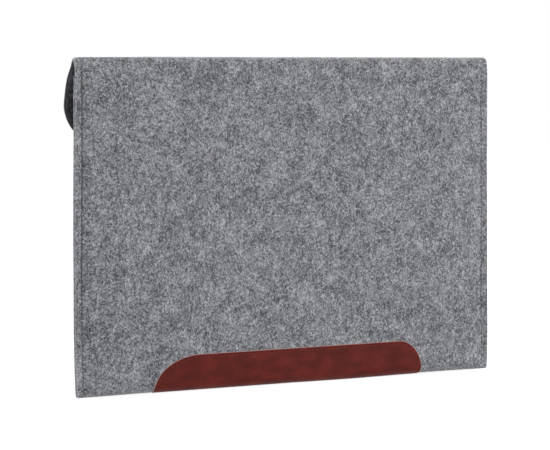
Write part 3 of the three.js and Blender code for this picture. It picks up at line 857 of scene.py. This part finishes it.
def trim_reach(s, side):
    """How far the base trim reaches to one side at s."""
    wide, tall = TRIM_CORNERS[side]
    past = np.clip((np.abs(s) - (TRIM_HALF_LENGTH - tall)) / tall, 0, 1)
    return TRIM_REACH[side] - waist(s) - wide * (1 - np.sqrt(1 - past**2))


def trim_edge_distance(x, s):
    """Distance inwards from the base trim's outline, whose corners are quarters of ellipses."""
    found = []
    for side, (wide, tall) in TRIM_CORNERS.items():
        q = np.maximum(side * x - (TRIM_REACH[side] - waist(s) - wide), 0) / wide
        p = np.maximum(np.abs(s) - (TRIM_HALF_LENGTH - tall), 0) / tall
        round_off = np.hypot(q, p)
        slant = np.hypot(q / wide, p / tall) / np.maximum(round_off, 1e-6)
        found.append((1 - round_off) / np.maximum(slant, 1 / max(wide, tall)))
    return np.minimum(*found)


def stitch_channel(distance):
    """The line that the stitches press into the leather, and its slightly raised border."""
    dip = CHANNEL["depth"] * np.exp(-(((distance - TRIM_STITCH_INSET) / CHANNEL["width"]) ** 2))
    border = np.exp(-(((distance - CHANNEL_BORDER["inset"]) / CHANNEL_BORDER["width"]) ** 2))
    return dip - CHANNEL_BORDER["height"] * border


def leather_sheet(name, patch, distance, waves):
    soft = rounded(distance, LEATHER_ROUND)
    outer = soft - PROUD + stitch_channel(distance) - waves
    inner = LEATHER - PROUD - waves
    # the band along the cut edge that gets the painted highlight
    edge = 1 - smoothstep(distance, 0.05, 0.5)
    return sheet_object(name, patch, outer, inner, LEATHER_LOOK, edge=edge)


def add_base_trim():
    s = edge_spaced(TRIM_HALF_LENGTH, LEATHER_ROW_STEP)[:, None]
    u = edge_spaced(TRIM_REACH[1], LEATHER_COLUMN_STEP)[None, :] / TRIM_REACH[1]
    x = np.where(u < 0, u * trim_reach(s, -1), u * trim_reach(s, 1))
    s = s + 0 * x
    patch = Patch(x, *base_line(s))
    waves = slow_waves(x, base_along(s))
    piece = leather_sheet("base_trim_leather", patch, trim_edge_distance(x, s), waves)
    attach(piece, "body")
    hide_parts("base_trim")


def lip_reach(height):
    """The half width of the flap's trim at a height above its lower edge."""
    past = np.clip(height - (LIP_HEIGHT - LIP_SETBACK - LIP_CORNER), 0, LIP_CORNER)
    return LIP_HALF_WIDTH - LIP_CORNER + np.sqrt(LIP_CORNER**2 - past**2)


def lip_edge_distance(x, height):
    q = np.maximum(np.abs(x) - (LIP_HALF_WIDTH - LIP_CORNER), 0)
    p = np.maximum(height - (LIP_HEIGHT - LIP_SETBACK - LIP_CORNER), 0)
    return np.minimum(LIP_CORNER - np.hypot(q, p), height)


def add_flap_trim(shell_length, flap_length):
    tall = LIP_HEIGHT - LIP_SETBACK
    height = (edge_spaced(tall / 2, LEATHER_ROW_STEP) + tall / 2)[:, None]
    u = edge_spaced(LIP_HALF_WIDTH, LEATHER_COLUMN_STEP)[None, :] / LIP_HALF_WIDTH
    x = u * lip_reach(height)
    height = height[::-1] + 0 * x
    x = x[::-1]
    z = FLAP_TIP + LIP_SETBACK + height
    patch = Patch(x, FLAP_DEPTH + 0 * x, z, 1.0, 0.0)
    along = shell_length + flap_length - (z - FLAP_TIP)
    waves = slow_waves(x, along)
    piece = leather_sheet("flap_trim_leather", patch, lip_edge_distance(x, height), waves)
    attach(piece, "flap")
    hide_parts("flap_trim")


# ---- Stitches ----
STITCH_SIDES = 8
STITCH_RINGS = 7


def stitch_mesh(name, stitches, material):
    """Stitches as short thick threads that dive in at both ends: each one's start, end and outward normal."""
    points, faces, strands = [], [], []
    ring = 2 * math.pi * np.arange(STITCH_SIDES) / STITCH_SIDES
    for number, (start, end, normal) in enumerate(stitches):
        start, end, normal = (np.array(v, float) for v in (start, end, normal))
        forward = (end - start) / np.linalg.norm(end - start)
        aside = np.cross(forward, normal)
        base = len(points)
        for i in range(STITCH_RINGS):
            k = i / (STITCH_RINGS - 1)
            arch = math.sin(math.pi * k)
            centre = start + (end - start) * k + normal * THREAD_RADIUS * (1.5 * arch**0.6 - 0.9)
            thick = THREAD_RADIUS * (0.55 + 0.45 * arch**0.5)
            for a in ring:
                points.append(centre + thick * (1.12 * math.cos(a) * aside + 0.9 * math.sin(a) * normal))
                strands.append((k * 1.4, a * 0.35 + 0.2, number * 0.37))
        for i in range(STITCH_RINGS - 1):
            for j in range(STITCH_SIDES):
                a, b = base + i * STITCH_SIDES + j, base + i * STITCH_SIDES + (j + 1) % STITCH_SIDES
                faces.append([a, b, b + STITCH_SIDES, a + STITCH_SIDES])
        last = base + (STITCH_RINGS - 1) * STITCH_SIDES
        for k in range(1, STITCH_SIDES - 1, 2):
            end_quad = [0, k, k + 1, (k + 2) % STITCH_SIDES]
            faces.append([base + q for q in reversed(end_quad)])
            faces.append([last + q for q in end_quad])
    points = np.array(points) / 1000
    return mesh_object(name, points, np.array(faces), material, strand=np.array(strands) / 1000)


def evenly(path, pitch):
    """Starts and ends of stitches along a closed path, a whole number of them about one pitch apart."""
    path = np.concatenate([path, path[:1]])
    run = np.concatenate([[0], np.cumsum(np.hypot(*np.diff(path, axis=0).T))])
    count = round(run[-1] / pitch)
    starts = np.arange(count) * run[-1] / count
    find = lambda v: np.stack([np.interp(v, run, part) for part in path.T], axis=1)
    gap = TRIM_GAP * pitch
    return list(zip(find(starts + gap), find(starts + run[-1] / count - gap)))


def arc(cx, cy, radius, start, end, count=16):
    a = np.radians(np.linspace(start, end, count))
    return np.stack([cx + radius * np.cos(a), cy + radius * np.sin(a)], axis=1)


def base_point(x, s):
    """Where a thread lies on the base trim, and the outward normal there."""
    d, z, nd, nz = (float(v) for v in base_line(np.float64(s)))
    wave = float(slow_waves(np.float64(x), base_along(np.float64(s)))) + TRIM_THREAD_LIFT
    normal = np.array([0, nd, nz])
    return np.array([x, d - CENTRE_DEPTH, z]) + normal * wave, normal


def add_base_stitches():
    corners = []
    for side, turn in ((1, 0), (-1, 90), (-1, 180), (1, 270)):
        wide, tall = TRIM_CORNERS[side]
        up = 1 if turn < 180 else -1
        x, s = arc(0, 0, 1, turn, turn + 90).T
        s = up * (TRIM_HALF_LENGTH - tall) + (tall - TRIM_STITCH_INSET) * s
        x = side * (TRIM_REACH[side] - waist(s) - wide) + (wide - TRIM_STITCH_INSET) * x
        corners.append(np.stack([x, s], axis=1))
    stitches = []
    for start, end in evenly(np.concatenate(corners), TRIM_PITCH):
        a, normal = base_point(*start)
        b, _ = base_point(*end)
        if min(a[2], b[2]) > BASE:
            stitches.append((a, b, normal))
    piece = stitch_mesh("base_trim_stitches", stitches, LEATHER_THREAD)
    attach(piece, "body")
    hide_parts("base_trim_thread_back", "base_trim_thread_front")


def add_flap_stitches():
    inner = LIP_CORNER - TRIM_STITCH_INSET
    low = FLAP_TIP + LIP_SETBACK + TRIM_STITCH_INSET
    high = FLAP_TIP + LIP_HEIGHT - LIP_CORNER
    edge = LIP_HALF_WIDTH - TRIM_STITCH_INSET
    centre = LIP_HALF_WIDTH - LIP_CORNER
    corners = [arc(centre, high, inner, 0, 90), arc(-centre, high, inner, 90, 180)]
    path = np.concatenate([[(edge, low)], *corners, [(-edge, low)]])
    normal = np.array([0, 1, 0])
    y = FLAP_DEPTH + TRIM_THREAD_LIFT - CENTRE_DEPTH
    stitches = [((a[0], y, a[1]), (b[0], y, b[1]), normal) for a, b in evenly(path, TRIM_PITCH)]
    piece = stitch_mesh("flap_trim_stitches", stitches, LEATHER_THREAD)
    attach(piece, "flap")
    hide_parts("flap_trim_thread")


def seam_stitches(surface, side, back):
    """The stitches of one seam on one face, on the line of the shell at the seam's place."""
    place = side * SEAM_X[side]
    column = int(np.argmin(np.abs(surface.x[0] - place)))
    high = SEAM_HIGH["back" if back else "front"]
    behind, nd = surface.behind[:, 0], surface.nd[:, column]
    face = behind & (nd < -0.3) if back else ~behind & (nd > 0.9)
    parts = [getattr(surface, key)[face, column] for key in ("d", "z", "nd", "nz")]
    order = np.argsort(parts[1])
    d, z, nd, nz = (part[order] for part in parts)
    count = round((high - SEAM_LOW) / SEAM_PITCH)
    pitch = (high - SEAM_LOW) / count
    stitches = []
    for i in range(count):
        ends = []
        for turn in (i + SEAM_GAP, i + 1 - SEAM_GAP):
            height = SEAM_LOW + turn * pitch
            depth, a, b = (float(np.interp(height, z, part)) for part in (d, nd, nz))
            normal = np.array([0, a, b]) / math.hypot(a, b)
            x = place + float(sway(place, height))
            sink = SEAM_VALLEY["depth"] + GROOVE_MEAN * float(groove(side, height)) - THREAD_PROUD[side]
            ends.append(np.array([x, depth - CENTRE_DEPTH, height]) - normal * sink)
        stitches.append((*ends, normal))
    return stitches


def add_seam_stitches(surface):
    for name, side in (("left", -1), ("right", 1)):
        stitches = seam_stitches(surface, side, True) + seam_stitches(surface, side, False)
        piece = stitch_mesh(f"seam_stitches_{name}", stitches, FELT_THREAD)
        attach(piece, "body")
        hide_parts(f"seam_thread_{name}_back", f"seam_thread_{name}_front")


# ---- Snaps ----
AXIS = 0.001  # the radius of a turned profile's ends on its axis, so that no face there is empty


def turned_piece(name, profile, centre, material, segments=72):
    """A profile of (radius, y) points in millimetres, turned about a line along Y through the centre."""
    profile = np.array(profile, float)
    angles = 2 * math.pi * np.arange(segments) / segments
    rings = [
        (centre[0] + r * math.cos(a), y, centre[1] + r * math.sin(a)) for r, y in profile for a in angles
    ]
    faces = []
    for i in range(len(profile) - 1):
        for j in range(segments):
            a, b = i * segments + j, i * segments + (j + 1) % segments
            faces.append([a, b, b + segments, a + segments])
    return mesh_object(name, np.array(rings) / 1000, np.array(faces), material)


def bevelled(corners, size=0.25, steps=4):
    """A profile with its inner corners rounded."""
    points = [corners[0]]
    for before, at, after in zip(corners, corners[1:], corners[2:]):
        before, at, after = (np.array(p, float) for p in (before, at, after))
        cut = [min(size, np.linalg.norm(p - at) / 2.2) for p in (before, after)]
        a = at + (before - at) / np.linalg.norm(before - at) * cut[0]
        b = at + (after - at) / np.linalg.norm(after - at) * cut[1]
        for k in np.linspace(0, 1, steps):
            points.append(tuple((1 - k) ** 2 * a + 2 * k * (1 - k) * at + k * k * b))
    return points + [corners[-1]]


def node_box(node):
    """The two corners of a CAD node's box, in millimetres."""
    low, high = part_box(node)
    return 1000 * np.array(low), 1000 * np.array(high)


def add_snap(name):
    box = node_box(f"snap_cap_{name}")
    centre = (box[0] + box[1])[[0, 2]] / 2
    low, high = box[0][1], box[1][1]
    inside = SNAP_RADIUS - CAP_WALL
    cap = [
        (inside, low), (SNAP_RADIUS, low), (SNAP_RADIUS, high - CAP_CHAMFER[1]),
        (SNAP_RADIUS - CAP_CHAMFER[0], high), (CAP_HOLE, high), (CAP_HOLE, high - CAP_WALL),
        (inside, high - CAP_WALL), (inside, low),
    ]
    piece = turned_piece(f"snap_cap_shell_{name}", bevelled(cap), centre, SNAP_LOOK)
    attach(piece, "body")
    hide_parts(f"snap_cap_{name}")
    tip = node_box(f"snap_stud_{name}")[0][1]
    plate = tip + STUD_LENGTH
    stud = [
        (AXIS, tip), (STUD_RADIUS - STUD_CHAMFER, tip), (STUD_RADIUS, tip + STUD_CHAMFER),
        (STUD_RADIUS, plate), (SNAP_RADIUS, plate), (SNAP_RADIUS, plate + STUD_PLATE),
        (AXIS, plate + STUD_PLATE),
    ]
    piece = turned_piece(f"snap_stud_plate_{name}", bevelled(stud), centre, SNAP_LOOK)
    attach(piece, "flap")
    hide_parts(f"snap_stud_{name}")


def dress_hidden_metal():
    """Gives the CAD's own washers, bases and magnets their finish."""
    for name in ("left", "right"):
        for part in ("base", "panel_washer", "flap_washer", "magnet"):
            node = bpy.data.objects[f"snap_{part}_{name}"]
            node.data.materials.clear()
            node.data.materials.append(MAGNET_LOOK if part == "magnet" else HIDDEN_METAL)


# ---- Stage ----
CAMERA = {"place": (-0.6950, -1.4249, 0.2217), "yaw": 25.757, "pitch": -3.628, "roll": -0.37, "lens": 134.95}
LIGHTS = (  # place, size in metres and power in watts
    ("key", (1.6, -1.12, 0.98), 0.85, 38),
    ("fill", (-2.1, -0.4, 0.9), 1.2, 13),
    ("rear", (0.4, 1.8, 1.4), 1.5, 14),
    ("overhead", (0.0, 0.25, 2.0), 1.2, 10),
)
SLEEVE_MIDDLE = (0, 0, 0.12)


def add_camera():
    data = bpy.data.cameras.new("camera")
    data.sensor_width = 36
    data.lens = CAMERA["lens"]
    data.clip_start, data.clip_end = 0.05, 50
    camera = bpy.data.objects.new("camera", data)
    camera.location = CAMERA["place"]
    level = Euler((math.radians(90 + CAMERA["pitch"]), 0, -math.radians(CAMERA["yaw"]))).to_quaternion()
    roll = Quaternion((0, 0, 1), math.radians(CAMERA["roll"]))
    camera.rotation_euler = (level @ roll).to_euler()
    bpy.context.scene.collection.objects.link(camera)
    bpy.context.scene.camera = camera


def add_light(name, place, size, power):
    """A soft square light that looks at the middle of the sleeve."""
    data = bpy.data.lights.new(name, "AREA")
    data.size = size
    data.energy = power
    light = bpy.data.objects.new(name, data)
    light.location = place
    aim = np.array(SLEEVE_MIDDLE) - np.array(place)
    yaw, pitch = math.atan2(-aim[0], aim[1]), math.atan2(aim[2], math.hypot(aim[0], aim[1]))
    light.rotation_euler = (math.radians(90) + pitch, 0, yaw)
    bpy.context.scene.collection.objects.link(light)


def add_stage():
    bpy.context.scene.view_settings.view_transform = "Standard"
    n = Nodes("floor")
    place = n.add("ShaderNodeTexCoord").outputs["Object"]
    tone = n.ramp(n.noise(place, 2.0, 0.5, scale=3.0), [(0.3, (0.29,) * 3), (0.7, (0.31,) * 3)])
    glow = {"Emission_Color": (1, 1, 1, 1), "Emission_Strength": 0.82}
    material = n.finish(Base_Color=tone, Roughness=0.9, Specular_IOR_Level=0.1, **glow)
    bpy.ops.mesh.primitive_plane_add(size=12, location=(0, 0, -0.0004))
    floor = bpy.context.object
    floor.name = "floor"
    floor.data.materials.append(material)
    world = bpy.data.worlds.new("studio")
    bpy.context.scene.world = world
    world.use_nodes = True
    background = world.node_tree.nodes["Background"]
    background.inputs["Color"].default_value = (1, 1, 1, 1)
    background.inputs["Strength"].default_value = 1.0
    for light in LIGHTS:
        add_light(*light)


add_camera()
add_stage()
shell = add_felt_shell()
flap = add_felt_flap(shell.length)
add_lining_shell()
add_lining_flap()
add_base_trim()
add_flap_trim(shell.length, flap.length)
add_base_stitches()
add_flap_stitches()
add_seam_stitches(shell)
for snap in ("left", "right"):
    add_snap(snap)
dress_hidden_metal()
